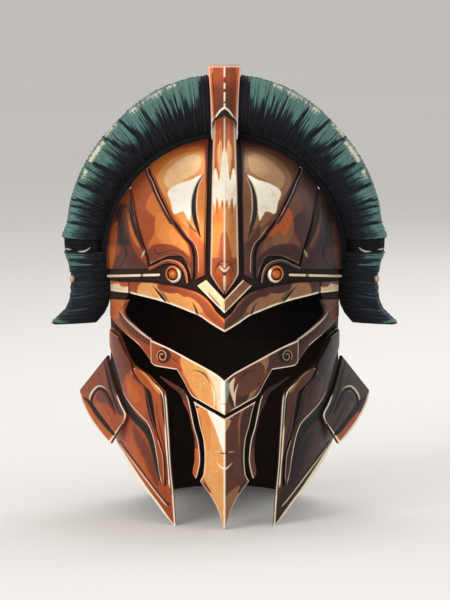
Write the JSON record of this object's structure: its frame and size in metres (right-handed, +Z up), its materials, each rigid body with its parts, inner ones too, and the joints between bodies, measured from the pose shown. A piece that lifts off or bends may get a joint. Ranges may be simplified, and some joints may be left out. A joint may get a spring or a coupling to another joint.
{
  "type": "crested corinthian helmet",
  "caption": "Crested bronze corinthian helmet with a winged eye slot, pointed face guard, layered cheek plates, neck flaps and a flared neck guard.",
  "frame": {"origin": "on the ground under the helmet, at the middle of its footprint box", "axes": "+Z up, the face looks along -Y, +X to the right seen from the front"},
  "size_m": [0.3276, 0.2923, 0.421],
  "materials": {
    "bronze": "hand-finished copper-red bronze, bright on its worn edges",
    "bright_bronze": "polished yellow bronze",
    "dark_bronze": "dark patinated bronze",
    "crest_hair": "dyed horsehair, dark at the root and teal at the tips",
    "leather": "near-black leather, satin"
  },
  "bodies": {
    "root": {"skull_crown": "dark_bronze", "skull_front": "dark_bronze", "skull_side_left": "dark_bronze", "skull_side_right": "dark_bronze", "skull_back": "dark_bronze", "neck_guard": "dark_bronze", "forehead_plate_left": "bronze", "forehead_plate_right": "bronze", "side_plate_left": "bronze", "side_plate_right": "bronze", "temple_plate_left": "bronze", "temple_plate_right": "bronze", "comb_front": "bronze", "comb_rear": "bronze", "crest_holder": "bronze", "crest_base_left": "leather", "crest_base_right": "leather", "crest_left": "crest_hair", "crest_right": "crest_hair", "crest_band_left": "leather", "crest_band_right": "leather", "crest_tail_left": "crest_hair", "crest_tail_right": "crest_hair", "brow_bead_left": "bright_bronze", "brow_bead_right": "bright_bronze", "boss_ring_left": "bright_bronze", "boss_ring_right": "bright_bronze", "boss_stud_left": "bronze", "boss_stud_right": "bronze", "arch_bead_left": "bronze", "arch_bead_right": "bronze", "chevron": "bright_bronze", "brow_plate": "bronze", "brow_tab_left": "bright_bronze", "brow_tab_right": "bright_bronze", "face_plate": "bronze", "visor_strap_left": "bronze", "visor_strap_right": "bronze", "scroll_left": "bronze", "scroll_right": "bronze", "guard_plate": "bright_bronze", "guard_fin_left": "bronze", "guard_fin_right": "bronze", "cheek_plate_left": "bronze", "cheek_plate_right": "bronze", "cheek_blade_left": "bronze", "cheek_blade_right": "bronze", "cheek_rim_left": "bright_bronze", "cheek_rim_right": "bright_bronze", "neck_flap_left": "bronze", "neck_flap_right": "bronze"}
  },
  "joints": []
}
